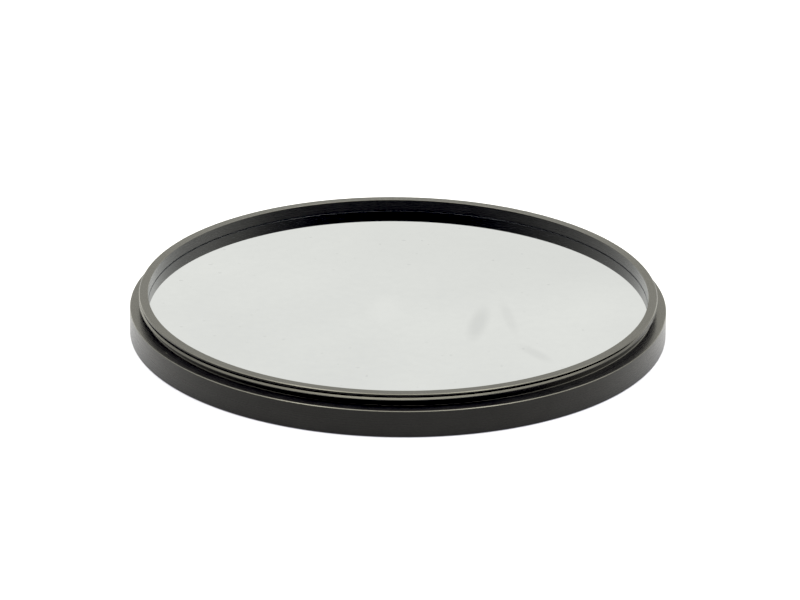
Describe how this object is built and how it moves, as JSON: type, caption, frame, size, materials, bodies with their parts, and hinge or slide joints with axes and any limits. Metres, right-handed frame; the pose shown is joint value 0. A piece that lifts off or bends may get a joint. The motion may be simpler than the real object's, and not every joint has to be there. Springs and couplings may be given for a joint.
{
  "type": "optical bandpass filter",
  "caption": "Round coated glass filter in a black mount ring, with a male thread on one side and a female thread on the other.",
  "frame": {"origin": "centre of the mount ring's lower face, on the optical axis", "axes": "+Z along the optical axis, from the female thread towards the male thread; +X and +Y lie in the lower face"},
  "size_m": [0.089, 0.089, 0.0069],
  "materials": {
    "ring_anodised": "satin black anodised",
    "coated_glass": "mirror-like interference coating",
    "retainer_anodised": "satin black anodised"
  },
  "bodies": {
    "root": {"mount_ring": "ring_anodised", "filter_glass": "coated_glass", "retaining_ring": "retainer_anodised"}
  },
  "joints": []
}
